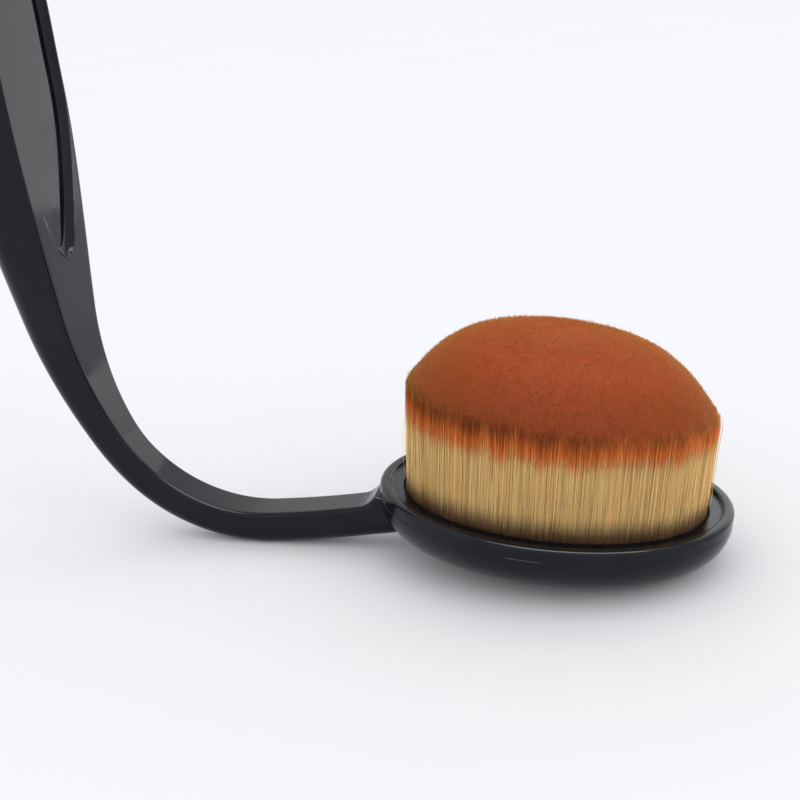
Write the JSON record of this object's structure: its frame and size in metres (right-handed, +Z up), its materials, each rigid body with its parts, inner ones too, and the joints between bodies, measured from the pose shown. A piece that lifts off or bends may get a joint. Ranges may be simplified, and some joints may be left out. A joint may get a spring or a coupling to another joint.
{
  "type": "oval brush",
  "caption": "Oval-headed brush with a dense two-tone hair block in a lipped dish, on a flat neck that bends up into a wide scooped handle.",
  "frame": {"origin": "centre of the flat oval land under the head", "axes": "+X from the neck to the tip of the head, +Z up as the brush rests on the tip side of its back and on the elbow of its neck, +Y across the head"},
  "size_m": [0.1389, 0.0476, 0.1372],
  "materials": {
    "gloss_black": "polished injection moulding, blue-black",
    "gloss_black_ring": "polished injection moulding, black",
    "adhesive": "cured clear-amber adhesive",
    "tray_plastic": "as moulded, satin",
    "resin": "cured epoxy over filament roots",
    "hair": "dense synthetic filaments, cream roots and orange-brown tips"
  },
  "bodies": {
    "root": {"handle": "gloss_black", "head_bezel": "gloss_black_ring", "bezel_adhesive": "adhesive", "hair_tray": "tray_plastic", "tray_adhesive": "adhesive", "root_bond": "resin", "hair_bundle": "hair"}
  },
  "joints": []
}
